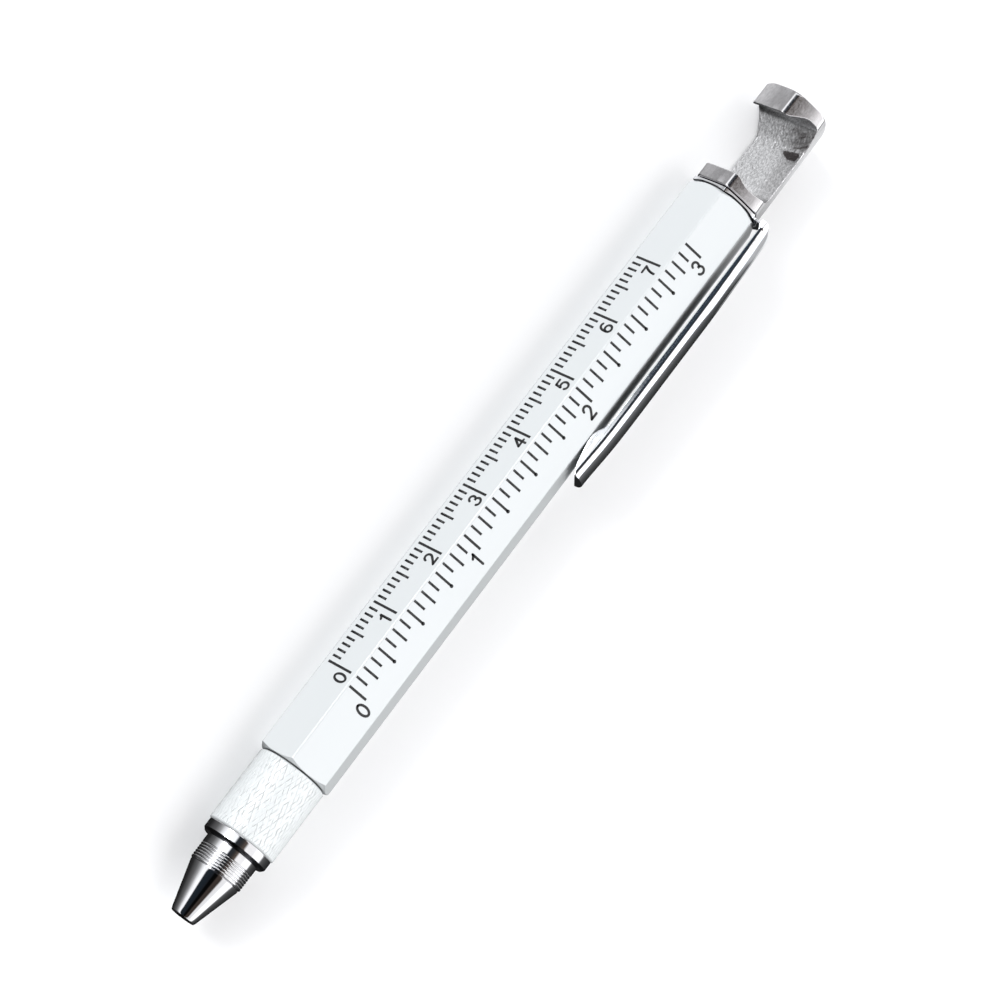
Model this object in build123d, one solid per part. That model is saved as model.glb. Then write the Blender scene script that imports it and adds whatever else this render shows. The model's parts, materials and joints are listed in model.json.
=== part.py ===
from build123d import *
import math
import os

os.makedirs("parts", exist_ok=True)

# A slim pen with a hexagonal barrel, a knurled twist grip, a clip and a
# screwed head with a bottle opener cut into it. Millimetres.
# The pen lies along X on its lower facet, tip towards -X and head towards +X.
# The origin is on that lower facet, under the middle of the barrel.

# ---- driving dimensions ----
APOTHEM = 5.18            # half of the barrel's width across flats
AXIS_Z = APOTHEM          # height of the pen's axis above the lower facet
EDGE_R = 0.40             # rounding of the barrel's long edges
BARREL_END = 49.125       # barrel runs from -BARREL_END to +BARREL_END
RIM_R = 5.08              # radius where the corner chamfers meet the ends
BORE_R = 4.00             # main bore
COUNTER_R = 4.25          # counterbores for the bush and for the socket

BUSH_END = -41.70         # rear face of the front bush
JOURNAL_R = 3.60          # core's journal
BUSH_BORE_R = 3.66        # running fit on the journal
WASHER_T = 0.40           # depth of the barrel's front recess for the thrust washer
WASHER_X0 = -49.20        # the washer stands a little out of the recess
WASHER_R = 4.70

GRIP_X0, GRIP_X1 = -60.525, -49.25
GRIP_R = 5.12
CORE_R = 4.20             # seat of the grip ring on the core
CORE_BORE_R = 2.40

FLANGE_X0, FLANGE_X1, FLANGE_R = -62.225, -60.575, 4.93
NECK_R = 3.95
NECK_X0 = -66.125
CONE_R0, CONE_R1 = 3.78, 1.85
TIP_X = -73.075
TIP_BORE_R = 1.32
NOSE_BORE_R = 2.30
SPIGOT_R, SPIGOT_X1 = 3.30, -55.20
SPIGOT_SEAT_R = 3.37

TRAVEL = 5.0              # refill advance for half a turn of the grip
TURN_DEG = 180.0
CARRIER_X0, CARRIER_X1, CARRIER_R = -9.40, -1.20, 2.10
PIN_X, PIN_R, PIN_L = -3.00, 0.50, 7.10
GUIDE_X0, GUIDE_X1, GUIDE_R, GUIDE_BORE_R = -19.60, 6.00, 2.80, 2.20
CAM_X0, CAM_X1, CAM_R, CAM_BORE_R = -24.00, 1.20, 3.72, 2.88
DRIVE_X0, DRIVE_X1, DRIVE_R, DRIVE_BORE_R = -40.00, -20.20, 3.10, 2.55
PLUG_X0, PLUG_X1 = 2.00, 8.00
SLOT_HALF = 0.60          # half width of the straight and helical slots

REFILL_R = 1.175
BALL_X, BALL_R = -70.80, 0.50
REFILL_TUBE_X0, REFILL_TUBE_X1 = -66.00, -4.60

SOCKET_X0 = 37.50
SOCKET_BORE_R = 3.58
SOCKET_FLANGE_R, SOCKET_FLANGE_T = 4.50, 0.25
RING_X0, RING_X1 = 49.375, 49.725
RING_APOTHEM, RING_CORNER_R = 5.00, 0.45
TONGUE_HALF = 1.90

HEAD_APOTHEM, HEAD_EDGE_R = 4.92, 1.00
HEAD_X0, HEAD_X1 = 49.925, 67.125
HEAD_STEP_X0, HEAD_STEP_R = 49.775, 4.30
HEAD_SPIGOT_X0, HEAD_SPIGOT_R = 38.00, 3.50
HOLDER_R, HOLDER_X1 = 2.90, 48.30
HEX_HOLE_APOTHEM = 2.00   # four-millimetre hexagon
HEX_BIT_APOTHEM = 1.94
MAGNET_R, MAGNET_X0, MAGNET_X1 = 1.90, 48.36, 50.00

BIT_X0, BIT_X1 = 23.30, 48.30

CLIP_X0, CLIP_X1 = 5.025, 50.125
CLIP_HALF = 2.50

S60, C60 = math.sin(math.radians(60)), 0.5


def turned(points):
    """Solid of revolution about the pen's axis from (x, r) points."""
    wire = Polyline(*[(x, r) for x, r in points], close=True)
    return revolve(make_face(wire), Axis.X, 360)


def rod(x0, x1, r):
    return turned([(x0, 0), (x1, 0), (x1, r), (x0, r)])


def tube(x0, x1, ro, ri):
    return turned([(x0, ri), (x1, ri), (x1, ro), (x0, ro)])


def hex_prism(x0, x1, apothem, corner_r=0.0):
    """Hexagonal prism along X with two flats facing +Z and -Z."""
    face = RegularPolygon(apothem, 6, major_radius=False)
    if corner_r:
        face = fillet(face.vertices(), corner_r)
    return extrude(Plane.YZ.offset(x0) * face, x1 - x0)


def toothed(x0, x1, r, depth, pitch):
    """Outline points of fine ring-shaped thread grooves from x0 to x1."""
    points = []
    n = int((x1 - x0) / pitch)
    for i in range(n):
        a = x0 + i * pitch
        points += [(a, r - depth), (a + 0.35 * pitch, r), (a + 0.65 * pitch, r)]
    points.append((x0 + n * pitch, r - depth))
    return points


# A plane that holds the pen's axis and a facet's normal. Local x is the pen's
# X, local y is the height above the axis along that normal.
clip_plane = Plane(origin=(0, 0, 0), x_dir=(1, 0, 0), z_dir=(0, -C60, -S60))
hook_plane = Plane(origin=(0, 0, 0), x_dir=(1, 0, 0), z_dir=(0, -C60, S60))

parts = {}

# ---- barrel ----
barrel = hex_prism(-BARREL_END, BARREL_END, APOTHEM, EDGE_R)
nut = turned([
    (-BARREL_END, 0), (BARREL_END, 0), (BARREL_END, RIM_R),
    (BARREL_END - 1.0, 6.30), (-BARREL_END + 1.0, 6.30), (-BARREL_END, RIM_R),
])
barrel = barrel & nut
barrel -= rod(-BARREL_END - 1, BARREL_END + 1, BORE_R)
barrel -= rod(-BARREL_END - 1, BUSH_END, COUNTER_R)
barrel -= rod(-BARREL_END - 1, -BARREL_END + WASHER_T, WASHER_R)
barrel -= rod(SOCKET_X0, BARREL_END + 1, COUNTER_R)
parts["hex_barrel"] = barrel

parts["front_bush"] = tube(-BARREL_END + WASHER_T, BUSH_END, COUNTER_R, BUSH_BORE_R)
parts["thrust_washer"] = tube(WASHER_X0, -BARREL_END + WASHER_T, WASHER_R, BUSH_BORE_R)

# ---- grip: knurled ring on a core that turns in the bush ----
parts["grip_ring"] = turned([
    (GRIP_X0, CORE_R), (GRIP_X1, CORE_R), (GRIP_X1, GRIP_R - 0.2), (GRIP_X1 - 0.2, GRIP_R),
    (GRIP_X0 + 0.2, GRIP_R), (GRIP_X0, GRIP_R - 0.2),
])
ORING_X, ORING_R = -45.5, 0.26
SNAP_X0, SNAP_X1 = -41.60, -41.05
parts["grip_core"] = turned([
    (-60.40, SPIGOT_SEAT_R), (-60.40, CORE_R), (-49.30, CORE_R), (-49.30, JOURNAL_R),
    (ORING_X - 0.32, JOURNAL_R), (ORING_X - 0.32, 3.08), (ORING_X + 0.32, 3.08), (ORING_X + 0.32, JOURNAL_R),
    (SNAP_X0, JOURNAL_R), (SNAP_X0, 3.30), (SNAP_X1, 3.30), (SNAP_X1, JOURNAL_R),
    (-36.00, JOURNAL_R), (-36.00, DRIVE_R), (DRIVE_X0, DRIVE_R), (DRIVE_X0, CORE_BORE_R),
    (SPIGOT_X1 + 0.2, CORE_BORE_R), (SPIGOT_X1 + 0.2, SPIGOT_SEAT_R),
])
parts["core_oring"] = revolve(Pos(ORING_X, 3.08 + ORING_R) * Circle(ORING_R), Axis.X, 360)
snap = tube(SNAP_X0 + 0.02, SNAP_X1 - 0.02, 3.86, 3.30)
snap -= Pos(SNAP_X0, 4.0, 0) * Box(3, 4.0, 2.4)
parts["retaining_ring"] = snap
parts["drive_tube"] = tube(DRIVE_X0, DRIVE_X1, DRIVE_R, DRIVE_BORE_R)

# Cam sleeve with two helical slots half a turn apart. The sleeve turns right-
# handed about +X while the pins move towards -X, so a slot seen from the
# sleeve runs towards -X as the angle about +X falls.
cam = turned([
    (CAM_X0, DRIVE_R), (DRIVE_X1, DRIVE_R), (DRIVE_X1, CAM_BORE_R), (CAM_X1, CAM_BORE_R),
    (CAM_X1, CAM_R), (CAM_X0, CAM_R),
])
STEPS = 30
for start in (0.0, 180.0):
    for i in range(STEPS + 1):
        k = i / STEPS
        cutter = Pos(PIN_X - TRAVEL * k, 0, 0) * Rot(start - TURN_DEG * k, 0, 0) * (
            Pos(0, 0, 3.3) * Cylinder(SLOT_HALF, 2.4)
        )
        cam -= cutter
parts["cam_sleeve"] = cam

# ---- mechanism parts fixed in the barrel ----
guide = turned([
    (GUIDE_X0, 1.40), (GUIDE_X0, GUIDE_R), (GUIDE_X1, GUIDE_R), (GUIDE_X1, GUIDE_BORE_R),
    (GUIDE_X0 + 0.8, GUIDE_BORE_R), (GUIDE_X0 + 0.8, 1.40),
])
guide -= Pos(PIN_X - TRAVEL / 2, 0, 0) * Box(TRAVEL, 2 * SLOT_HALF, 8)
guide -= Pos(PIN_X, 0, 0) * Cylinder(SLOT_HALF, 8)
guide -= Pos(PIN_X - TRAVEL, 0, 0) * Cylinder(SLOT_HALF, 8)
parts["guide_tube"] = guide
parts["thrust_ring"] = tube(1.30, 1.90, 3.80, GUIDE_R)
parts["mechanism_plug"] = turned([
    (PLUG_X0, GUIDE_R), (GUIDE_X1, GUIDE_R), (GUIDE_X1, 0), (PLUG_X1, 0), (PLUG_X1, BORE_R),
    (PLUG_X0, BORE_R),
])

# ---- carrier, pin and spring ----
carrier = turned([
    (CARRIER_X0, REFILL_R), (CARRIER_X0, CARRIER_R), (CARRIER_X1, CARRIER_R), (CARRIER_X1, 0),
    (REFILL_TUBE_X1, 0), (REFILL_TUBE_X1, REFILL_R),
])
carrier -= Pos(PIN_X, 0, 0) * Cylinder(PIN_R, 8)
parts["carrier"] = carrier
parts["follower_pin"] = Pos(PIN_X, 0, 0) * Cylinder(PIN_R, PIN_L)

SPRING_X0, SPRING_X1 = GUIDE_X0 + 0.8, CARRIER_X0
WIRE_R, COIL_R, COILS = 0.20, 1.78, 6
coil_length = (SPRING_X1 - SPRING_X0) - 2 * WIRE_R - 0.1
helix = Helix(pitch=coil_length / COILS, height=coil_length, radius=COIL_R)
coil = sweep(Plane(helix @ 0, z_dir=helix % 0) * Circle(WIRE_R), path=helix, is_frenet=True)
parts["return_spring"] = Pos(SPRING_X0 + WIRE_R + 0.05, 0, 0) * (Rot(0, 90, 0) * coil)

# ---- refill ----
parts["refill_tube"] = tube(REFILL_TUBE_X0, REFILL_TUBE_X1, REFILL_R, 0.95)
refill_tip = turned([
    (-71.02, 0), (-71.02, 0.60), (-69.20, 1.05), (-68.40, 1.05), (-68.20, REFILL_R), (-66.00, REFILL_R),
    (-66.00, 0.95), (-63.00, 0.95), (-63.00, 0),
])
refill_tip -= rod(-72, -62, 0.22)
refill_tip -= Pos(BALL_X, 0, 0) * Sphere(BALL_R + 0.03)
parts["refill_tip"] = refill_tip
parts["writing_ball"] = Pos(BALL_X, 0, 0) * Sphere(BALL_R)
parts["ink_column"] = rod(-62.95, -9.0, 0.95)

# ---- nose ----
neck = [(FLANGE_X0, NECK_R), (FLANGE_X0 - 1.40, NECK_R)]
for i in range(6):
    a = FLANGE_X0 - 1.40 - i * 0.40
    neck += [(a - 0.08, NECK_R - 0.14), (a - 0.26, NECK_R - 0.14), (a - 0.34, NECK_R)]
neck += [(NECK_X0 + 0.05, NECK_R - 0.03), (NECK_X0 + 0.05, NECK_R - 0.18), (NECK_X0 - 0.05, NECK_R - 0.18),
         (NECK_X0 - 0.05, CONE_R0)]
nose = turned(
    [(SPIGOT_X1, NOSE_BORE_R), (SPIGOT_X1, SPIGOT_R - 0.2)]
    + [(x, r) for x, r in reversed(toothed(-60.0, SPIGOT_X1 - 0.2, SPIGOT_R, 0.2, 0.5))]
    + [(-60.30, SPIGOT_R - 0.2), (-60.30, 3.10), (FLANGE_X1, 3.10), (FLANGE_X1, FLANGE_R),
       (FLANGE_X0 + 0.35, FLANGE_R), (FLANGE_X0, FLANGE_R - 0.35)]
    + neck
    + [(TIP_X + 0.15, CONE_R1 + 0.04), (TIP_X, CONE_R1 - 0.15), (TIP_X, TIP_BORE_R), (-67.80, TIP_BORE_R),
       (-67.40, NOSE_BORE_R)]
)
parts["nose_cone"] = nose

# ---- rear: socket, ring with tongue, clip ----
parts["head_socket"] = turned([
    (SOCKET_X0, SOCKET_BORE_R), (SOCKET_X0, COUNTER_R), (BARREL_END, COUNTER_R), (BARREL_END, SOCKET_FLANGE_R),
    (BARREL_END + SOCKET_FLANGE_T, SOCKET_FLANGE_R), (BARREL_END + SOCKET_FLANGE_T, SOCKET_BORE_R),
])
ring = hex_prism(RING_X0, RING_X1, RING_APOTHEM, RING_CORNER_R)
tongue = extrude(
    clip_plane * make_face(Polyline((RING_X0, 4.6), (RING_X1, 4.6), (RING_X1, 5.93), (RING_X0, 5.93), close=True)),
    TONGUE_HALF, both=True,
)
ring = (ring + tongue) - rod(RING_X0 - 1, RING_X1 + 1, SOCKET_BORE_R)
parts["clip_ring"] = ring

# Clip: a channel with a crowned back and rounded shoulders, swept along a
# gently sloping crest, then cut to its side profile.
crest = Spline((3.0, 7.74), (11.6, 8.22), (19.5, 8.33), (35.5, 8.37), (43.5, 8.21), (52.0, 7.92))
section_line = [
    Line((-CLIP_HALF, -4.6), (-CLIP_HALF, -1.49)),
    ThreePointArc((-CLIP_HALF, -1.49), (-2.33, -0.93), (-1.97, -0.55)),
    ThreePointArc((-1.97, -0.55), (0.0, 0.0), (1.97, -0.55)),
    ThreePointArc((1.97, -0.55), (2.33, -0.93), (CLIP_HALF, -1.49)),
    Line((CLIP_HALF, -1.49), (CLIP_HALF, -4.6)),
    Line((CLIP_HALF, -4.6), (-CLIP_HALF, -4.6)),
]
section = make_face(section_line)
path = clip_plane * crest
start = path @ 0
heading = path % 0
section_plane = Plane(origin=start, x_dir=(0, C60, S60), z_dir=heading)
if section_plane.y_dir.dot(Vector(0, -S60, C60)) < 0:
    section_plane = Plane(origin=start, x_dir=(0, -C60, -S60), z_dir=heading)
body = sweep(section_plane * section, path=path)
profile = make_face([
    Polyline((CLIP_X1, 5.98), (CLIP_X1, 6.55)),
    Spline((CLIP_X1, 6.55), (49.90, 7.08), (49.50, 7.43), (49.10, 7.67), (48.50, 7.92), (47.30, 8.14), (45.50, 8.40)),
    Polyline((45.50, 8.40), (45.50, 9.5), (CLIP_X0, 9.5), (CLIP_X0, 6.62)),
    Spline((CLIP_X0, 6.62), (6.20, 6.04), (8.30, 5.58), (10.60, 5.22), (11.90, 5.50), (12.80, 6.02)),
    Polyline((12.80, 6.02), (13.10, 6.05), (48.60, 6.05), (49.30, 5.98), (CLIP_X1, 5.98)),
])
clip = body & extrude(clip_plane * profile, 4.0, both=True)
hollow = make_face(Polyline((14.0, 5.0), (49.30, 5.0), (49.30, 6.75), (47.6, 7.15), (14.0, 7.25), close=True))
clip -= extrude(clip_plane * hollow, 1.95, both=True)
parts["clip"] = clip

# ---- head with the opener ----
head = hex_prism(HEAD_X0, HEAD_X1, HEAD_APOTHEM, HEAD_EDGE_R)
crown = turned([
    (HEAD_X0, 0), (HEAD_X1, 0), (HEAD_X1, 5.10), (HEAD_X1 - 0.12, 5.30), (HEAD_X1 - 0.5, 5.9),
    (HEAD_X0 + 0.4, 5.9), (HEAD_X0, 5.40),
])
head = head & crown
gap = make_face([
    Spline((52.275, 4.95), (52.18, 4.2), (51.90, 3.6), (51.70, 2.9), (51.625, 2.0), (51.76, 1.1), (51.95, 0.2),
           (52.30, -1.0), (53.20, -1.8), (54.60, -2.1), tangents=[(0, -1), (1, 0)]),
    Line((54.60, -2.1), (61.0, -2.1)),
    Spline((61.0, -2.1), (61.85, -2.0), (62.53, -1.72), (63.10, -1.40), (64.11, -0.81), (64.95, -0.13), (65.17, 1.1),
           (65.02, 1.9), (64.57, 2.6), (63.97, 3.4), (63.50, 4.0), (63.30, 4.45), (63.27, 4.95), tangents=[(1, 0), (0, 1)]),
    Polyline((63.27, 4.95), (63.27, 8.0), (52.275, 8.0), (52.275, 4.95)),
])
head -= extrude(hook_plane * gap, 9.0, both=True)
spigot = turned(
    [(HEAD_SPIGOT_X0, HOLDER_R), (HEAD_SPIGOT_X0, HEAD_SPIGOT_R - 0.25)]
    + toothed(HEAD_SPIGOT_X0 + 0.3, 47.6, HEAD_SPIGOT_R, 0.25, 0.6)
    + [(HEAD_STEP_X0, HEAD_SPIGOT_R - 0.25), (HEAD_STEP_X0, HEAD_STEP_R), (HEAD_X0, HEAD_STEP_R),
       (HEAD_X0 + 0.3, HEAD_STEP_R), (HEAD_X0 + 0.3, HOLDER_R)]
)
head += spigot
head -= rod(HEAD_SPIGOT_X0 - 1, MAGNET_X0, HOLDER_R)
head -= rod(MAGNET_X0 - 1, MAGNET_X1, MAGNET_R)
parts["opener_head"] = head

parts["bit_holder"] = tube(HEAD_SPIGOT_X0, HOLDER_X1, HOLDER_R, 0.5) - hex_prism(
    HEAD_SPIGOT_X0 - 1, HOLDER_X1 + 1, HEX_HOLE_APOTHEM
)
parts["bit_magnet"] = rod(MAGNET_X0, MAGNET_X1, MAGNET_R)

# ---- double-ended bit: cross tip towards -X, slotted tip towards +X ----
shank = hex_prism(BIT_X0, BIT_X1, HEX_BIT_APOTHEM) & turned([
    (BIT_X0, 0), (BIT_X0, 0.45), (BIT_X0 + 0.9, 1.30), (BIT_X0 + 4.2, 1.50), (BIT_X0 + 5.4, 2.4),
    (BIT_X1 - 5.2, 2.4), (BIT_X1 - 4.2, 1.50), (BIT_X1, 1.50), (BIT_X1, 0),
])
for angle in (45, 135, 225, 315):
    flute = make_face(Polyline((BIT_X0 - 0.5, 0.12), (BIT_X0 + 3.4, 1.75), (BIT_X0 - 0.5, 3.2), close=True))
    notch = extrude(Plane.XZ * flute, 0.85, both=True)
    cut = notch & (Rot(45, 0, 0) * (Pos(BIT_X0 + 1.0, 1.30, 1.30) * Box(5.2, 2.0, 2.0)))
    shank -= Rot(angle, 0, 0) * cut
for side in (1, -1):
    blade = make_face(Polyline(
        (BIT_X1 - 4.0, side * 1.6), (BIT_X1 - 2.6, side * 0.62), (BIT_X1 - 0.6, side * 0.30),
        (BIT_X1 + 0.5, side * 0.30), (BIT_X1 + 0.5, side * 2.2), (BIT_X1 - 4.0, side * 2.2), close=True))
    shank -= extrude(Plane.XZ * blade, 4.0, both=True)
parts["screwdriver_bit"] = shank

lift = Pos(0, 0, AXIS_Z)
for name, shape in parts.items():
    moved = lift * shape
    solids = moved.solids()
    out = solids[0] if len(solids) == 1 else Compound(children=list(solids))
    export_step(out, os.path.join("parts", name + ".step"))
    box = out.bounding_box()
    print(f"{name:16s} solids {len(solids)} volume {sum(s.volume for s in solids):9.3f} "
          f"x {box.min.X:8.3f} {box.max.X:8.3f} y {box.min.Y:7.3f} {box.max.Y:7.3f} z {box.min.Z:7.3f} {box.max.Z:7.3f}")
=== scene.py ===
import json
import math

import bpy
import numpy as np
from mathutils import Matrix, Vector


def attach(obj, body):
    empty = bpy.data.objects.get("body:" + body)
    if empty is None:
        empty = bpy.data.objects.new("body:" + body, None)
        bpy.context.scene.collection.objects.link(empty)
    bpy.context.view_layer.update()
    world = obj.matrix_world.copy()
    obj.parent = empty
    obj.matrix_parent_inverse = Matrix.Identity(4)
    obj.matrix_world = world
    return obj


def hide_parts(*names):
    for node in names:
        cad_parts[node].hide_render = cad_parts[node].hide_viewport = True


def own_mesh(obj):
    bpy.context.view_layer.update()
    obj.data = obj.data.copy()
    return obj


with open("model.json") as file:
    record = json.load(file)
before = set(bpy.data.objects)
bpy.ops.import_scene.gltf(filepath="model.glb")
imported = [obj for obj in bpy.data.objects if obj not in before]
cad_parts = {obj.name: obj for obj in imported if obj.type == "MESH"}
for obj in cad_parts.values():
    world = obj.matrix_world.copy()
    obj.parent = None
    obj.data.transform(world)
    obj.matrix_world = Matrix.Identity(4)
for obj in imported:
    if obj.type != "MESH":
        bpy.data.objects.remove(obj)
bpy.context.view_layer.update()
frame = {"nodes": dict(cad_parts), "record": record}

# All sizes below are in millimetres about the pen's axis: x along the pen,
# y and z across it. MM and AXIS_Z take them to the frame.
MM = 0.001
AXIS_Z = 5.18
S60, C60 = math.sin(math.radians(60)), 0.5
N_TOP = np.array([0.0, 0.0, 1.0])
N_CM = np.array([0.0, S60, C60])
N_CLIP = np.array([0.0, -S60, C60])
T_CLIP = np.array([0.0, C60, S60])


# ------------------------------------------------------------------ meshes
def to_frame(v):
    v = np.asarray(v, float).reshape(-1, 3)
    return np.column_stack([v[:, 0], v[:, 1], v[:, 2] + AXIS_Z]) * MM


def outward(verts, faces):
    """The faces, turned over if the solid they close has a negative volume."""
    v, total = np.asarray(verts, float), 0.0
    sizes = {}
    for face in faces:
        sizes.setdefault(len(face), []).append(face)
    for n, group in sizes.items():
        g = np.asarray(group, int)
        for k in range(1, n - 1):
            total += np.einsum("ij,ij->i", v[g[:, 0]], np.cross(v[g[:, k]], v[g[:, k + 1]])).sum()
    return [tuple(f)[::-1] for f in faces] if total < 0 else faces


def new_object(name, verts, faces, material, body, node=None, sharp=None, normals=None, attribute=None):
    verts = np.asarray(verts, float).reshape(-1, 3)
    faces = outward(verts, faces)
    mesh = bpy.data.meshes.new(name)
    mesh.from_pydata(to_frame(verts).tolist(), [], [list(map(int, f)) for f in faces])
    mesh.validate(clean_customdata=False)
    mesh.update()
    mesh.shade_smooth()
    if sharp is not None:
        mesh.set_sharp_from_angle(angle=math.radians(sharp))
    if normals is not None and len(normals) == len(mesh.vertices):
        mesh.normals_split_custom_set_from_vertices([tuple(map(float, n)) for n in normals])
    if attribute is not None:
        layer = mesh.attributes.new(attribute[0], "FLOAT", "POINT")
        layer.data.foreach_set("value", np.asarray(attribute[1], np.float32))
    obj = bpy.data.objects.new(name, mesh)
    bpy.context.scene.collection.objects.link(obj)
    mesh.materials.append(material)
    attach(obj, body)
    if node:
        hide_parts(*([node] if isinstance(node, str) else node))
    return obj


def weighted(obj):
    m = obj.modifiers.new("weighted", "WEIGHTED_NORMAL")
    m.keep_sharp = True
    m.weight = 60
    return obj


def lathe(profile, n=256, radius_at=None):
    """A closed (x, r) profile turned about the axis. radius_at(x, r, angle) may vary the radius."""
    profile = np.asarray(profile, float)
    a = np.linspace(0, 2 * math.pi, n, endpoint=False)
    x = np.repeat(profile[:, 0][:, None], n, 1)
    r = np.repeat(profile[:, 1][:, None], n, 1)
    if radius_at is not None:
        r = radius_at(x, r, a[None, :])
    v = np.stack([x, r * np.cos(a), r * np.sin(a)], -1).reshape(-1, 3)
    p = len(profile)
    i, k = np.meshgrid(np.arange(p), np.arange(n), indexing="ij")
    i2, k2 = (i + 1) % p, (k + 1) % n
    f = np.stack([i * n + k, i * n + k2, i2 * n + k2, i2 * n + k], -1).reshape(-1, 4)
    return v, f


def hex_radius(angle, apothem, corner):
    """Polar radius of a hexagon with rounded corners; its facets face 30, 90, 150... degrees from +Y."""
    facet = np.radians(30) + np.radians(60) * np.round((angle - np.radians(30)) / np.radians(60))
    off = np.abs(angle - facet)
    flat_end = math.atan((apothem - corner) * math.tan(math.radians(30)) / apothem)
    centre = (apothem - corner) / math.cos(math.radians(30))
    d = np.radians(30) - off
    arc = centre * np.cos(d) + np.sqrt(np.maximum(corner**2 - (centre * np.sin(d)) ** 2, 0))
    return np.where(off <= flat_end, apothem / np.cos(off), arc)


def hex_angles(apothem, corner, flat=10, arc=14):
    """Angles for one turn, close together on the rounded corners."""
    flat_end = math.atan((apothem - corner) * math.tan(math.radians(30)) / apothem)
    one = np.concatenate([
        np.linspace(-flat_end, flat_end, flat, endpoint=False),
        np.linspace(flat_end, math.radians(60) - flat_end, arc, endpoint=False),
    ])
    return np.concatenate([one + math.radians(30 + 60 * k) for k in range(6)])


def hex_body(x0, x1, apothem, corner, front, back, bore, arc=14):
    """A hexagonal bar whose ends are cut by turned profiles. front and back are (inset, radius) points from
    the end face inwards; bore is the inner (x, r) profile from the back face to the front face."""
    a = hex_angles(apothem, corner, arc=arc)
    n = len(a)
    hexr = hex_radius(a, apothem, corner)

    def rows(cut):
        ins, rad = np.array(cut, float).T
        found = []
        for k in range(n):
            if hexr[k] <= rad[0]:
                found.append([(0.0, hexr[k])] * (len(cut) + 1))
                continue
            pts = [(ins[0], rad[0])]
            for i in range(1, len(cut)):
                if hexr[k] >= rad[i]:
                    pts.append((ins[i], rad[i]))
                else:
                    share = (hexr[k] - rad[i - 1]) / (rad[i] - rad[i - 1])
                    pts.append((ins[i - 1] + share * (ins[i] - ins[i - 1]), hexr[k]))
                    break
            while len(pts) < len(cut) + 1:
                pts.append(pts[-1])
            found.append(pts)
        return np.array(found)

    f, b = rows(front), rows(back)
    rings = [np.stack([x0 + f[:, i, 0], f[:, i, 1]], -1) for i in range(f.shape[1])]
    rings += [np.stack([x1 - b[:, i, 0], b[:, i, 1]], -1) for i in reversed(range(b.shape[1]))]
    rings += [np.tile([x, r], (n, 1)) for x, r in bore]
    rings = np.array(rings, float)
    v = np.stack([rings[..., 0], rings[..., 1] * np.cos(a), rings[..., 1] * np.sin(a)], -1).reshape(-1, 3)
    p = len(rings)
    i, k = np.meshgrid(np.arange(p), np.arange(n), indexing="ij")
    i2, k2 = (i + 1) % p, (k + 1) % n
    f = np.stack([i * n + k, i * n + k2, i2 * n + k2, i2 * n + k], -1).reshape(-1, 4)
    return merged(v, f)


def merged(v, f, tol=1e-5):
    """Joins points that coincide and drops faces that have shrunk to nothing."""
    key = np.round(v / tol).astype(np.int64)
    _, first, back = np.unique(key, axis=0, return_index=True, return_inverse=True)
    back = back.reshape(-1)
    out = []
    for face in back[f]:
        loop = [int(p) for j, p in enumerate(face) if p != face[j - 1]]
        if len(set(loop)) >= 3 and len(set(loop)) == len(loop):
            out.append(loop)
    return v[first], out


# ---------------------------------------------------- solids from distance
def round_max(a, b, r):
    """Where a and b meet, an edge rounded to radius r."""
    u, w = np.maximum(a + r, 0), np.maximum(b + r, 0)
    return np.minimum(-r, np.maximum(a, b)) + np.sqrt(u * u + w * w)


def outline_distance(points, x, y):
    """Signed distance from (x, y) to a closed outline, negative inside."""
    points = np.asarray(points, float)
    best, inside = np.full(x.shape, 1e9), np.zeros(x.shape, bool)
    for (ax, ay), (bx, by) in zip(points, np.roll(points, -1, 0)):
        dx, dy = bx - ax, by - ay
        size = dx * dx + dy * dy
        if size < 1e-14:
            continue
        t = np.clip(((x - ax) * dx + (y - ay) * dy) / size, 0, 1)
        best = np.minimum(best, (x - ax - t * dx) ** 2 + (y - ay - t * dy) ** 2)
        crosses = (ay > y) != (by > y)
        at = ax + (y - ay) * dx / (dy if abs(dy) > 1e-14 else 1e-14)
        inside ^= crosses & (x < at)
    return np.where(inside, -1, 1) * np.sqrt(best)


class Outline:
    """An outline's distance, tabled once and then read between its grid points."""

    def __init__(self, points, lo, hi, step=0.03):
        self.lo, self.step = np.array(lo, float), step
        self.n = np.ceil((np.array(hi) - self.lo) / step).astype(int) + 1
        gx = self.lo[0] + step * np.arange(self.n[0])
        gy = self.lo[1] + step * np.arange(self.n[1])
        self.table = outline_distance(points, *np.meshgrid(gx, gy, indexing="ij"))

    def __call__(self, x, y):
        u = np.clip((x - self.lo[0]) / self.step, 0, self.n[0] - 1.001)
        w = np.clip((y - self.lo[1]) / self.step, 0, self.n[1] - 1.001)
        i, j = u.astype(int), w.astype(int)
        fu, fw, t = u - i, w - j, self.table
        return (t[i, j] * (1 - fu) * (1 - fw) + t[i + 1, j] * fu * (1 - fw)
                + t[i, j + 1] * (1 - fu) * fw + t[i + 1, j + 1] * fu * fw)


def gradient(field, v, h=2e-3):
    g = np.empty_like(v)
    for k in range(3):
        d = np.zeros(3)
        d[k] = h
        g[:, k] = (field(v + d) - field(v - d)) / (2 * h)
    return g


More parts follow.
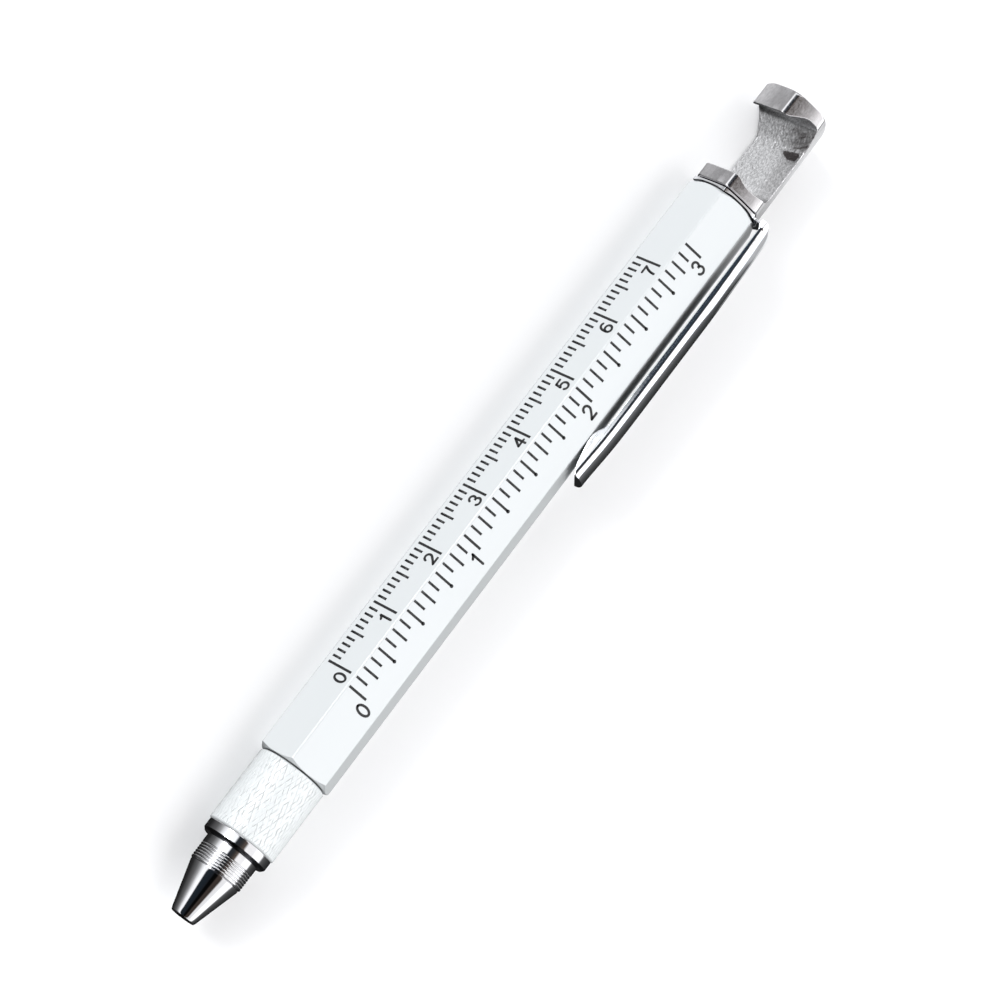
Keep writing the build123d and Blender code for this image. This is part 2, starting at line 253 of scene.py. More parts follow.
def surface(field, lo, hi, step):
    """Quads on the zero level of field(points), one vertex for each cell that the surface crosses, moved onto it."""
    lo, hi = np.array(lo, float), np.array(hi, float)
    n = np.ceil((hi - lo) / step).astype(int) + 1
    axes = [lo[k] + step * np.arange(n[k]) for k in range(3)]
    val = np.empty(n, np.float32)
    gy, gz = np.meshgrid(axes[1], axes[2], indexing="ij")
    for i, x in enumerate(axes[0]):
        p = np.column_stack([np.full(gy.size, x), gy.ravel(), gz.ravel()])
        val[i] = field(p).reshape(gy.shape)
    neg = val < 0
    c = tuple(k - 1 for k in n)
    count, total = np.zeros(c, np.int8), np.zeros(c + (3,), np.float32)
    for ax in range(3):
        others = [k for k in range(3) if k != ax]
        for s in (0, 1):
            for t in (0, 1):
                a = [slice(0, c[k]) for k in range(3)]
                a[others[0]] = slice(s, s + c[others[0]])
                a[others[1]] = slice(t, t + c[others[1]])
                b = list(a)
                b[ax] = slice(1, 1 + c[ax])
                va, vb = val[tuple(a)], val[tuple(b)]
                cross = neg[tuple(a)] != neg[tuple(b)]
                share = np.where(cross, va / np.where(cross, va - vb, 1), 0)
                count += cross
                total[..., ax] += share
                total[..., others[0]] += cross * s
                total[..., others[1]] += cross * t
    used = count > 0
    index = np.full(c, -1)
    index[used] = np.arange(used.sum())
    cell = np.argwhere(used)
    v = lo + step * (cell + total[used] / count[used][:, None])
    faces = []
    for ax in range(3):
        a = [slice(0, n[k]) for k in range(3)]
        b = [slice(0, n[k]) for k in range(3)]
        a[ax], b[ax] = slice(0, n[ax] - 1), slice(1, n[ax])
        at = np.argwhere(neg[tuple(a)] != neg[tuple(b)])
        o1, o2 = [(1, 2), (2, 0), (0, 1)][ax]
        at = at[(at[:, o1] > 0) & (at[:, o2] > 0) & (at[:, o1] < c[o1]) & (at[:, o2] < c[o2])]
        e1, e2 = np.eye(3, dtype=int)[o1], np.eye(3, dtype=int)[o2]
        quad = np.stack([index[tuple((at + d).T)] for d in (-e1 - e2, -e2, 0 * e1, -e1)], -1)
        out = neg[tuple(at.T)]
        faces.append(np.where(out[:, None], quad, quad[:, ::-1]))
    f = np.concatenate(faces)
    f = f[(f >= 0).all(1)]
    for _ in range(4):
        g = gradient(field, v)
        move = (field(v) / np.maximum((g * g).sum(1), 0.05))[:, None] * g
        size = np.linalg.norm(move, axis=1, keepdims=True)
        v = v - move * np.minimum(1, 0.5 * step / np.maximum(size, 1e-9))
    g = gradient(field, v)
    return v, f, g / np.maximum(np.linalg.norm(g, axis=1, keepdims=True), 1e-9)


def spline(points, count=24):
    """Points on a smooth curve through the given ones."""
    p = np.asarray(points, float)
    p = np.vstack([2 * p[0] - p[1], p, 2 * p[-1] - p[-2]])
    out = []
    for a, b, c, d in zip(p, p[1:], p[2:], p[3:]):
        t = np.linspace(0, 1, count, endpoint=False)[:, None]
        out.append(0.5 * (2 * b + (c - a) * t + (2 * a - 5 * b + 4 * c - d) * t**2 + (3 * b - a - 3 * c + d) * t**3))
    return np.vstack(out + [p[-2][None]])


# --------------------------------------------------------------- materials
class Nodes:
    def __init__(self, name):
        self.mat = bpy.data.materials.new(name)
        self.mat.use_nodes = True
        self.tree = self.mat.node_tree
        self.bsdf = self.tree.nodes["Principled BSDF"]
        self.where = self.tree.nodes.new("ShaderNodeTexCoord").outputs["Object"]

    def node(self, kind, **values):
        n = self.tree.nodes.new(kind)
        for k, v in values.items():
            if k in n.inputs:
                n.inputs[k].default_value = v
            else:
                setattr(n, k, v)
        return n

    def link(self, a, b):
        self.tree.links.new(a, b)

    def set(self, **values):
        for k, v in values.items():
            self.bsdf.inputs[k.replace("_", " ")].default_value = v
        return self

    def coords(self, scale):
        m = self.node("ShaderNodeMapping")
        m.inputs["Scale"].default_value = scale
        self.link(self.where, m.inputs["Vector"])
        return m.outputs["Vector"]

    def noise(self, scale=(1, 1, 1), size=1000.0, detail=4.0, roughness=0.55):
        n = self.node("ShaderNodeTexNoise", Scale=size, Detail=detail, Roughness=roughness)
        self.link(self.coords(scale), n.inputs["Vector"])
        return n.outputs["Fac"]

    def ramp(self, source, low, high, a, b):
        r = self.node("ShaderNodeMapRange")
        for k, v in (("From Min", low), ("From Max", high), ("To Min", a), ("To Max", b)):
            r.inputs[k].default_value = v
        self.link(source, r.inputs["Value"])
        return r.outputs["Result"]

    def mix(self, source, a, b):
        m = self.node("ShaderNodeMix", data_type="RGBA")
        m.inputs["A"].default_value, m.inputs["B"].default_value = (*a, 1), (*b, 1)
        self.link(source, m.inputs["Factor"])
        return m.outputs["Result"]

    def bump(self, source, strength, distance):
        b = self.node("ShaderNodeBump")
        b.inputs["Strength"].default_value = strength
        b.inputs["Distance"].default_value = distance
        self.link(source, b.inputs["Height"])
        self.link(b.outputs["Normal"], self.bsdf.inputs["Normal"])

    def color(self, out):
        self.link(out, self.bsdf.inputs["Base Color"])

    def rough(self, out):
        self.link(out, self.bsdf.inputs["Roughness"])


def lacquer(name, tint, painted_groove_shade=False):
    """Gloss paint: one clear face over a white ground, with a faint unevenness, and when asked painted shade that
    darkens the knurl's grooves.
    """
    m = Nodes(name).set(IOR=1.5)
    dark = tuple(c * 0.985 for c in tint)
    base = m.mix(m.ramp(m.noise((0.3, 1, 1), 110.0, 2.0), 0.35, 0.65, 0, 1), dark, tint)
    # Painted shade: the knurl's grooves are darkened towards 70% of the tint.
    if painted_groove_shade:
        a = m.node("ShaderNodeAttribute", attribute_name="painted_groove_shade")
        mixed = m.node("ShaderNodeMix", data_type="RGBA")
        mixed.inputs["B"].default_value = (*(c * 0.70 for c in tint), 1)
        m.link(base, mixed.inputs["A"])
        m.link(a.outputs["Fac"], mixed.inputs["Factor"])
        base = mixed.outputs["Result"]
    m.color(base)
    m.rough(m.ramp(m.noise((0.4, 1, 1), 500.0, 3.0), 0.3, 0.7, 0.07, 0.11))
    m.bump(m.noise((0.4, 1, 1), 300.0, 1.0), 0.02, 0.000003)
    return m.mat


def metal(name, color, rough, grain=(1, 1, 1), grain_size=1500.0, depth=0.05, spread=0.06, tone=0.9, turned=0.0):
    m = Nodes(name).set(Metallic=1.0)
    if turned:
        m.set(Anisotropic=turned)
    dark = tuple(c * tone for c in color)
    m.color(m.mix(m.ramp(m.noise(grain, grain_size * 0.4, 4.0), 0.35, 0.65, 0, 1), dark, color))
    m.rough(m.ramp(m.noise(grain, grain_size, 5.0), 0.3, 0.7, max(rough - spread, 0.02), rough + spread))
    m.bump(m.noise(grain, grain_size, 5.0), depth, 0.00002)
    return m.mat


def toned(mat, color):
    """Adds painted shade: darker patches where the mesh's tone value is high."""
    n = Nodes.__new__(Nodes)
    n.mat, n.tree, n.bsdf = mat, mat.node_tree, mat.node_tree.nodes["Principled BSDF"]
    a = n.node("ShaderNodeAttribute", attribute_name="tone")
    mixed = n.node("ShaderNodeMix", data_type="RGBA")
    mixed.inputs["B"].default_value = (*color, 1)
    n.link(n.bsdf.inputs["Base Color"].links[0].from_socket, mixed.inputs["A"])
    n.link(a.outputs["Fac"], mixed.inputs["Factor"])
    n.color(mixed.outputs["Result"])
    return mat


def casting(name, color, painted_hook_shade):
    """Metal as it left the mould: a fine grain, plus painted shade and reflection as dark patches where the mesh's
    shade value is high.
    """
    m = metal(name, color, 0.34, (1, 1, 1), 5200.0, 0.45, 0.08, 0.68)
    n = Nodes.__new__(Nodes)
    n.mat, n.tree, n.bsdf = m, m.node_tree, m.node_tree.nodes["Principled BSDF"]
    n.where = n.node("ShaderNodeTexCoord").outputs["Object"]
    # Painted shade and reflection of the hook's dark underside, mixed in by the mesh's value of that name.
    a = n.node("ShaderNodeAttribute", attribute_name="painted_hook_shade")
    mixed = n.node("ShaderNodeMix", data_type="RGBA")
    mixed.inputs["B"].default_value = (*painted_hook_shade, 1)
    base = n.mix(n.ramp(n.noise((0.5, 1, 1), 5600.0, 2.0), 0.40, 0.62, 0, 1), tuple(c * 0.62 for c in color), color)
    n.link(base, mixed.inputs["A"])
    n.link(a.outputs["Fac"], mixed.inputs["Factor"])
    n.color(mixed.outputs["Result"])
    return m


def plastic(name, color, rough, tone=0.85, size=1800.0, depth=0.12):
    m = Nodes(name).set(IOR=1.49)
    m.color(m.mix(m.ramp(m.noise((1, 1, 1), 500.0, 3.0), 0.35, 0.65, 0, 1), tuple(c * tone for c in color), color))
    m.rough(m.ramp(m.noise((1, 1, 1), size, 4.0), 0.3, 0.7, max(rough - 0.07, 0.03), min(rough + 0.07, 1)))
    m.bump(m.noise((1, 1, 1), size, 4.0), depth, 0.00003)
    return m.mat


MAT = {
    "white_lacquer": lacquer("white_lacquer", (0.627, 0.650, 0.659)),
    # The grip's white is lighter than the barrel's as painted light, making up for the shade in its knurl; its grooves
    # get painted shade.
    "white_grip": lacquer("white_grip", (0.695, 0.72, 0.727), painted_groove_shade=True),
    "dark_chrome": metal("dark_chrome", (0.56, 0.56, 0.57), 0.065, (1, 1, 1), 2500.0, 0.02, 0.02, 0.95),
    "bright_chrome": metal("bright_chrome", (0.80, 0.81, 0.83), 0.055, (1, 1, 1), 2500.0, 0.015, 0.02, 0.96),
    # Near-black metal used as painted shade in the nose's chamfer and undercut.
    "nose_shade_paint": metal("nose_shade_paint", (0.06, 0.06, 0.065), 0.22, (1, 1, 1), 2500.0, 0.05, 0.05, 0.85),
    # The head's nickel, with painted shade darkening its top facet.
    "satin_nickel": toned(metal("satin_nickel", (0.62, 0.61, 0.62), 0.14, (0.7, 1, 1), 3200.0, 0.12, 0.04, 0.88), (0.30, 0.295, 0.30)),
    "cast_nickel": casting("cast_nickel", (0.86, 0.86, 0.87), (0.10, 0.09, 0.09)),
    "brass": metal("brass", (0.78, 0.58, 0.30), 0.20, (1, 0.1, 0.1), 3500.0, 0.08, 0.06, 0.88),
    "spring_steel": metal("spring_steel", (0.68, 0.68, 0.70), 0.22, (1, 1, 1), 3000.0, 0.08, 0.06, 0.85),
    "refill_metal": metal("refill_metal", (0.74, 0.74, 0.76), 0.26, (0.1, 1, 1), 3000.0, 0.10, 0.06, 0.88),
    "tool_steel": metal("tool_steel", (0.42, 0.42, 0.44), 0.30, (1, 1, 1), 2600.0, 0.20, 0.08, 0.78),
    "socket_steel": metal("socket_steel", (0.12, 0.12, 0.125), 0.42, (1, 1, 1), 2600.0, 0.20, 0.08, 0.78),
    # Dark metal for the inside of the clip's channel, painted shade under the clip.
    "clip_inside_shade": metal("clip_inside_shade", (0.30, 0.30, 0.31), 0.40, (1, 1, 1), 2600.0, 0.20, 0.08, 0.8),
    "magnet_nickel": metal("magnet_nickel", (0.74, 0.73, 0.70), 0.14, (1, 1, 1), 2200.0, 0.05, 0.05, 0.9),
    "black_rubber": plastic("black_rubber", (0.022, 0.022, 0.023), 0.62),
    "black_polymer": plastic("black_polymer", (0.03, 0.03, 0.032), 0.5),
    "white_polymer": plastic("white_polymer", (0.80, 0.80, 0.77), 0.42),
    "ink": plastic("ink", (0.012, 0.012, 0.02), 0.15),
    "print_black": plastic("print_black", (0.012, 0.012, 0.013), 0.38, tone=0.6),
}
# The brass head socket is drawn in dark socket_steel, painted shade for the gap between barrel and ring where its
# flange shows.
for part in frame["record"]["subparts"]:
    obj = frame["nodes"][part["node"]]
    obj.data.materials.clear()
    obj.data.materials.append(MAT["socket_steel" if part["node"] == "head_socket" else part["material_slot"]])

# ------------------------------------------------------------------ barrel
v, f = hex_body(
    -49.00, 49.125, 5.18, 0.4,
    [(0.0, 5.12), (0.04, 5.24), (0.42, 6.00)], [(0.0, 5.08), (0.08, 5.20), (1.0, 6.30)],
    [(49.125, 4.25), (41.0, 4.25), (41.0, 4.0), (-41.0, 4.0), (-41.0, 4.25), (-48.70, 4.25), (-48.70, 4.72), (-49.00, 4.72)],
)
weighted(new_object("barrel_shell", v, f, MAT["white_lacquer"], "barrel", "hex_barrel", sharp=28))

# ------------------------------------------------------------- ruler print
PRINT_H = 0.014


class Facet:
    def __init__(self, normal, across):
        self.n, self.u, self.v, self.f = normal, np.array(across, float), [], []

    def prism(self, outline):
        """A thin raised shape with this (x, u) outline."""
        o = np.asarray(outline, float)
        k, start = len(o), len(self.v)
        for h in (5.18 - 0.004, 5.18 + PRINT_H):
            for x, u in o:
                self.v.append(np.array([x, 0, 0]) + u * self.u + h * self.n)
        self.f.append([start + k + i for i in range(k)])
        self.f.append([start + k - 1 - i for i in range(k)])
        for i in range(k):
            j = (i + 1) % k
            self.f.append([start + i, start + j, start + k + j, start + k + i])

    def stroke(self, points, width, caps=8):
        """A line of even width with round ends along (x, u) points."""
        p = np.asarray(points, float)
        d = np.gradient(p, axis=0)
        d /= np.maximum(np.linalg.norm(d, axis=1, keepdims=True), 1e-9)
        side = np.column_stack([-d[:, 1], d[:, 0]]) * width / 2
        out = list(p + side)
        end = math.atan2(side[-1][1], side[-1][0])
        out += [p[-1] + width / 2 * np.array([math.cos(end - t), math.sin(end - t)]) for t in np.linspace(0, math.pi, caps)[1:-1]]
        out += list((p - side)[::-1])
        end = math.atan2(-side[0][1], -side[0][0])
        out += [p[0] + width / 2 * np.array([math.cos(end - t), math.sin(end - t)]) for t in np.linspace(0, math.pi, caps)[1:-1]]
        self.prism(out[::-1])

    def tick(self, x, u0, u1, width):
        w = width / 2
        lo, hi = min(u0, u1), max(u0, u1)
        self.prism([(x - w, lo), (x + w, lo), (x + w, hi), (x - w, hi)])

    def disc(self, x, u, r, n=28):
        self.prism([(x + r * math.cos(t), u + r * math.sin(t)) for t in np.linspace(0, 2 * math.pi, n, endpoint=False)])


def arc(cx, cy, rx, ry, a0, a1, n=22):
    t = np.radians(np.linspace(a0, a1, n))
    return np.column_stack([cx + rx * np.cos(t), cy + ry * np.sin(t)])


# Plain numerals as strokes in a box 1 wide and 1.6 high.
DIGITS = {
    "0": [np.vstack([arc(0.5, 0.8, 0.40, 0.70, 90, 450, 44)])],
    "1": [np.array([(0.22, 1.18), (0.42, 1.30), (0.56, 1.50)]), np.column_stack([np.full(8, 0.56), np.linspace(1.50, 0.10, 8)])],
    "2": [np.vstack([arc(0.5, 1.08, 0.38, 0.42, 165, -25, 22), spline([(0.82, 0.86), (0.52, 0.50), (0.14, 0.12)], 6)[1:]]),
          np.column_stack([np.linspace(0.14, 0.90, 6), np.full(6, 0.12)])],
    "3": [np.vstack([arc(0.48, 1.14, 0.34, 0.36, 160, -80, 20), arc(0.48, 0.48, 0.40, 0.38, 80, -160, 24)])],
    "4": [np.array([(0.70, 0.10), (0.70, 0.80), (0.70, 1.50)]), np.array([(0.70, 1.50), (0.40, 1.02), (0.08, 0.52)]),
          np.array([(0.08, 0.52), (0.50, 0.52), (0.94, 0.52)])],
    "5": [np.array([(0.84, 1.48), (0.50, 1.48), (0.22, 1.48)]), np.array([(0.22, 1.48), (0.17, 1.15), (0.13, 0.82)]),
          np.vstack([spline([(0.13, 0.82), (0.30, 0.96), (0.48, 0.99)], 5)[:-1], arc(0.48, 0.54, 0.39, 0.45, 90, -155, 26)])],
    "6": [np.vstack([arc(0.56, 0.86, 0.44, 0.64, 62, 180, 18), arc(0.50, 0.50, 0.38, 0.40, 180, 540, 36)])],
    "7": [np.array([(0.12, 1.47), (0.50, 1.47), (0.88, 1.47)]), spline([(0.88, 1.47), (0.62, 1.02), (0.46, 0.56), (0.40, 0.10)], 8)],
}


def numeral(facet, text, x, u_low, height, width, pen):
    """A numeral whose lower left corner is at (x, u_low), reading towards +X with its top towards +u."""
    for line in DIGITS[text]:
        p = np.asarray(line, float)
        facet.stroke(np.column_stack([x + p[:, 0] * width, u_low + p[:, 1] / 1.6 * height]), pen)


SHIFT = -34.925
top = Facet(N_TOP, (0, 1, 0))
for k in range(0, 49):
    x = -1.58 + SHIFT + k * 25.4 / 16
    if k % 16 == 0:
        top.tick(x, 2.72, -0.31, 0.37)
    elif k % 4 == 0:
        top.tick(x, 2.72, 2.72 - 3.03 + 0.10, 0.35)
        top.disc(x, -0.31 + 0.10, 0.26)
    else:
        top.tick(x, 2.72, 2.72 - (2.57 if k % 2 == 0 else 1.92), 0.35)
for k in range(4):
    numeral(top, str(k), -1.58 + SHIFT + 25.4 * k - 2.03, -1.97, 2.22, 1.42, 0.36)
weighted(new_object("inch_scale", top.v, top.f, MAT["print_black"], "barrel"))

low = Facet(N_CM, (0, C60, -S60))
for k in range(0, 71):
    x = SHIFT + k
    end = 2.25 - (4.46 if k % 10 == 0 else 2.40 if k % 5 == 0 else 1.56)
    low.tick(x, 2.25, end, 0.36 if k % 10 == 0 else 0.34)
for k in range(8):
    numeral(low, str(k), SHIFT + 10.0 * k - 1.98, -2.24, 2.18, 1.38, 0.36)
weighted(new_object("centimetre_scale", low.v, low.f, MAT["print_black"], "barrel"))

# -------------------------------------------------------------- grip ring
GX0, GX1, GR = -60.525, -49.22, 5.115
CELLS, LONG, DEPTH = 52, 1.87, 0.06
nx, na = 150, CELLS * 20
xs = np.concatenate([[GX0, GX0 + 0.1, GX0 + 0.2], np.linspace(GX0 + 0.2, GX1 - 0.2, nx)[1:-1], [GX1 - 0.2, GX1 - 0.1, GX1]])
ang = np.linspace(0, 2 * math.pi, na, endpoint=False)
xx, aa = np.meshgrid(xs, ang, indexing="ij")
s = aa / (2 * math.pi) * CELLS


def groove(t):
    """1 at the bottom of each V and 0 on the lands."""
    d = np.abs((t + 0.5) % 1 - 0.5)
    return np.clip(1 - d / 0.14, 0, 1)


def uneven(a, b, seed):
    """A smooth random value about 1 over the ring; b is an angle, so it closes on itself."""
    rng = np.random.default_rng(seed)
    out = np.zeros(a.shape)
    for _ in range(16):
        out += np.cos(rng.uniform(-5, 5) * a + rng.integers(-44, 44) * b + rng.uniform(0, 6.28))
    return np.clip(0.76 + 0.52 * out / math.sqrt(8), 0.0, 1.5)


one_way = groove(s + xx / LONG + 0.015 * uneven(xx, aa, 3)) * uneven(xx, aa, 1)
other_way = groove(s - xx / LONG + 0.015 * uneven(xx, aa, 4)) * uneven(xx, aa, 2)
g = np.maximum(one_way, other_way)
limit = GR - np.clip(0.2 - (xx - GX0), 0, 0.2) - np.clip(0.2 - (GX1 - xx), 0, 0.2)
rr = np.minimum(GR - DEPTH * g, limit)
outer = np.stack([xx, rr * np.cos(aa), rr * np.sin(aa)], -1)
inner = np.stack([np.stack([np.full(na, x), r * np.cos(ang), r * np.sin(ang)], -1) for x, r in ((GX1, 4.2), (GX0, 4.2))])
grid = np.concatenate([outer, inner])
p = len(grid)
i, k = np.meshgrid(np.arange(p), np.arange(na), indexing="ij")
f = np.stack([i * na + k, i * na + (k + 1) % na, (i + 1) % p * na + (k + 1) % na, (i + 1) % p * na + k], -1).reshape(-1, 4)
# Painted shade for the knurl: darkest at the groove bottoms, none on the lands and the plain end rims.
painted_groove_shade = np.concatenate([np.clip(g * (rr < limit - 1e-6) * 0.8, 0, 1), np.zeros((2, na))]).reshape(-1)
new_object("grip_knurl", grid.reshape(-1, 3), f, MAT["white_grip"], "grip", "grip_ring", sharp=50,
           attribute=("painted_groove_shade", painted_groove_shade))

# -------------------------------------------------------------- nose cone
prof = [(-62.225, 4.50), (-62.225, 4.60), (-61.89, 4.90), (-61.86, 4.925), (-61.80, 4.93), (-61.70, 4.93), (-60.80, 4.93), (-60.70, 4.93), (-60.66, 4.925), (-60.60, 4.90), (-60.575, 4.86),
        (-60.575, 3.10), (-60.30, 3.10), (-60.30, 3.16)]
x = -60.2
while x < -55.35:
    prof += [(x, 3.12), (x + 0.20, 3.28), (x + 0.26, 3.28)]
    x += 0.5
prof += [(-55.25, 3.12), (-55.2, 3.05), (-55.2, 2.2), (-67.0, 2.2), (-67.4, 1.9), (-67.8, 1.32), (-73.03, 1.32), (-73.075, 1.37),
         (-73.075, 1.67), (-73.055, 1.75), (-73.0, 1.81), (-72.88, 1.865), (-72.70, 1.925), (-72.62, 1.955)]
cone = [(-72.62 + 6.27 * t, 1.955 + (3.765 - 1.955) * t) for t in np.linspace(0, 1, 14)[1:]]
prof += cone + [(-66.28, 3.78), (-66.22, 3.79), (-66.18, 3.70), (-66.125, 3.66), (-66.07, 3.70), (-66.03, 3.86), (-65.96, 3.93),
                (-65.90, 3.95)]
for j in range(6):
    c = -63.625 - 0.40 * (5 - j)
    prof += [(c - 0.13, 3.95), (c - 0.10, 3.93), (c - 0.06, 3.83), (c, 3.81), (c + 0.06, 3.83), (c + 0.10, 3.93), (c + 0.13, 3.95)]
prof += [(-63.35, 3.95), (-62.45, 3.95), (-62.36, 3.95), (-62.34, 3.90), (-62.225, 3.90)]
v, f = lathe(prof, 288)
nose = weighted(new_object("nose_shell", v, f, MAT["dark_chrome"], "nose", "nose_cone", sharp=32))
# The chamfer in front of the flange and the undercut behind the neck get near-black metal, painted shade for these
# recesses.
nose.data.materials.append(MAT["nose_shade_paint"])
mid = np.array([v[list(q)].mean(0) for q in f])
around = np.hypot(mid[:, 1], mid[:, 2])
shaded_recess = (mid[:, 0] > -62.215) & (mid[:, 0] < -61.87) & (around > 4.6) | (mid[:, 0] > -62.37) & (mid[:, 0] < -62.23) & (around < 3.94)
if len(nose.data.polygons) == len(f):
    nose.data.polygons.foreach_set("material_index", shaded_recess.astype(np.int32))

# -------------------------------------------------------------- clip ring
v, f = hex_body(49.09, 49.71, 5.00, 0.28, [(0.35, 4.90), (0.34, 5.08), (0.26, 5.30), (0.06, 5.56), (0.0, 5.64), (0.03, 5.90)],
                [(0.0, 4.90), (0.03, 4.98), (0.08, 5.60), (0.14, 5.90)], [(49.71, 3.58), (49.44, 3.58)], arc=14)
v[:, 1:] *= 1 - 0.009 * (v[:, :1] - 49.44)
weighted(new_object("ring_plate", v, f, MAT["bright_chrome"], "barrel", "clip_ring", sharp=28))


def in_clip(p):
    """(x, t, h) of points: along the pen, across the clip, away from the axis."""
    return p[:, 0], p @ T_CLIP, p @ N_CLIP


def tongue_field(p):
    x, t, h = in_clip(p)
    cheek = (np.abs(t) - 1.95 + 0.8 * (h - 4.975)) * 0.781
    f = round_max(np.abs(x - 49.58 - 0.12 * (h - 5.45)) - 0.172, cheek, 0.04)
    return round_max(f, np.abs(h - 5.45) - 0.475, 0.04)


# -------------------------------------------------------------------- clip
CREST = spline([(2.0, 7.80), (5.6, 7.89), (6.6, 7.93), (8.6, 8.05), (11.6, 8.23), (15.55, 8.32), (19.55, 8.34), (27.5, 8.36),
                (35.5, 8.37), (43.5, 8.21), (47.9, 8.05), (52.0, 7.92)], 40)
side = [(50.125, 5.98), (50.125, 6.55)]
side += [tuple(q) for q in spline([(50.125, 6.55), (49.90, 7.08), (49.50, 7.43), (49.10, 7.67), (48.50, 7.92), (47.30, 8.14),
                                   (45.50, 8.40)], 10)[1:]]
side += [(45.5, 9.5), (5.025, 9.5), (5.025, 6.62)]
side += [tuple(q) for q in spline([(5.025, 6.62), (6.20, 6.04), (8.30, 5.58), (10.60, 5.22), (11.90, 5.50), (12.80, 6.02)], 12)[1:]]
LOW = [(12.80, 6.02), (13.4, 6.17), (14.6, 6.26), (20.0, 6.32), (30.0, 6.41), (48.4, 6.43), (49.10, 6.06), (49.4, 5.98)]
side += LOW[1:]
SIDE = Outline(side, (4.0, 4.4), (51.2, 9.2), 0.025)
HOLLOW = Outline([(14.0, 4.8), (49.30, 4.8), (49.30, 6.75), (47.6, 7.15), (14.0, 7.25)], (4.0, 4.4), (51.2, 9.2), 0.025)

# Section as (across, drop below the crest): a crowned back, two shoulders and straight cheeks.
DOME_R, HALF, FLAT = 3.85, 2.5, 1.97
turn_in = math.asin(FLAT / DOME_R)
shoulder = (HALF - FLAT) / (1 - math.sin(turn_in))
drop = DOME_R * (1 - math.cos(turn_in))
half_line = [(DOME_R * math.sin(a), DOME_R * (1 - math.cos(a))) for a in np.linspace(0, turn_in, 24)]
half_line += [(HALF - shoulder * (1 - math.sin(a)), drop + shoulder * (math.cos(turn_in) - math.cos(a)))
              for a in np.linspace(turn_in, math.pi / 2, 24)[1:]]
half_line += [(HALF, 4.9)]
SECTION = Outline([(-t, d) for t, d in half_line[::-1]] + half_line[1:], (-3.2, -0.8), (3.2, 4.9), 0.02)


def clip_field(p):
    x, t, h = in_clip(p)
    crest = np.interp(x, CREST[:, 0], CREST[:, 1])
    f = SECTION(t * (1 + 0.22 * np.clip((x - 48.5) / 1.6, 0, 1) ** 2), crest - h)
    f = round_max(f, SIDE(x, h), np.where(h < 6.6, 0.10, 0.09))
    return np.maximum(f, -round_max(HOLLOW(x, h), np.abs(t) - 1.95, 0.02))


def clip_mesh(field, x0, x1, t0, t1, h0, h1, step):
    """Surface of a field in the clip's own axes, which stand square to its facets."""
    turn = np.stack([[1, 0, 0], T_CLIP, N_CLIP], 0)
    v, f, n = surface(lambda q: field(q @ turn), (x0, t0, h0), (x1, t1, h1), step)
    return v @ turn, f, n @ turn


v, f, n = clip_mesh(clip_field, 4.8, 50.4, -2.72, 2.72, 4.95, 8.55, 0.06)
clip = new_object("clip_shell", v, f, MAT["bright_chrome"], "clip", "clip", normals=n)
# Painted shade: the inside of the clip's channel gets darker, rougher metal than its chrome outside.
clip.data.materials.append(MAT["clip_inside_shade"])
x, t, h = in_clip(np.array([v[list(q)].mean(0) for q in f]))
inside_shade = (np.abs(t) < 1.98) & (h < 7.30) & (x > 13.95) & (x < 49.35)
if len(clip.data.polygons) == len(f):
    clip.data.polygons.foreach_set("material_index", inside_shade.astype(np.int32))
v, f, n = clip_mesh(tongue_field, 49.2, 49.9, -2.1, 2.1, 4.8, 6.1, 0.05)
new_object("ring_tongue", v, f, MAT["bright_chrome"], "barrel", normals=n)

# -------------------------------------------------------------------- head
gap = list(map(tuple, spline([(52.275, 4.95), (52.18, 4.2), (51.90, 3.6), (51.70, 2.9), (51.625, 2.0), (51.76, 1.1), (51.95, 0.2),
                              (52.30, -1.0), (53.20, -1.8), (54.60, -2.1)], 12)))
gap += list(map(tuple, spline([(60.2, -2.1), (61.0, -2.1), (61.85, -2.0), (62.53, -1.72), (63.10, -1.40), (64.11, -0.81),
                               (64.95, -0.13), (65.17, 1.1), (65.02, 1.9), (64.57, 2.6), (63.97, 3.4), (63.50, 4.0), (63.30, 4.45),
                               (63.27, 4.95)], 12)))
gap += [(63.27, 9.0), (52.275, 9.0)]
GAP = Outline(gap, (49.0, -6.5), (68.0, 7.5), 0.025)


def bowed_hexagon(apothem, corner, bow):
    """Outline of a hexagon whose facets are shallow arcs of radius bow, with rounded corners."""
    lo, hi = 0.0, 0.5
    for _ in range(50):
        e = (lo + hi) / 2
        short = (bow - corner) * math.sin(e) < math.tan(math.radians(30)) * (apothem - bow + (bow - corner) * math.cos(e))
        lo, hi = (e, hi) if short else (lo, e)
    out = []
    for k in range(6):
        turn = math.radians(30 + 60 * k)
        n, t = np.array([math.cos(turn), math.sin(turn)]), np.array([-math.sin(turn), math.cos(turn)])
        out += [(apothem - bow) * n + bow * (math.cos(a) * n + math.sin(a) * t) for a in np.linspace(-e, e, 13)]
        centre = (apothem - bow + (bow - corner) * math.cos(e)) * n + (bow - corner) * math.sin(e) * t
        out += [centre + corner * (math.cos(a) * n + math.sin(a) * t) for a in np.linspace(e, math.radians(60) - e, 22)[1:-1]]
    return out


HEAD = Outline(bowed_hexagon(4.92, 1.0, 60.0), (-6.1, -6.1), (6.1, 6.1), 0.025)


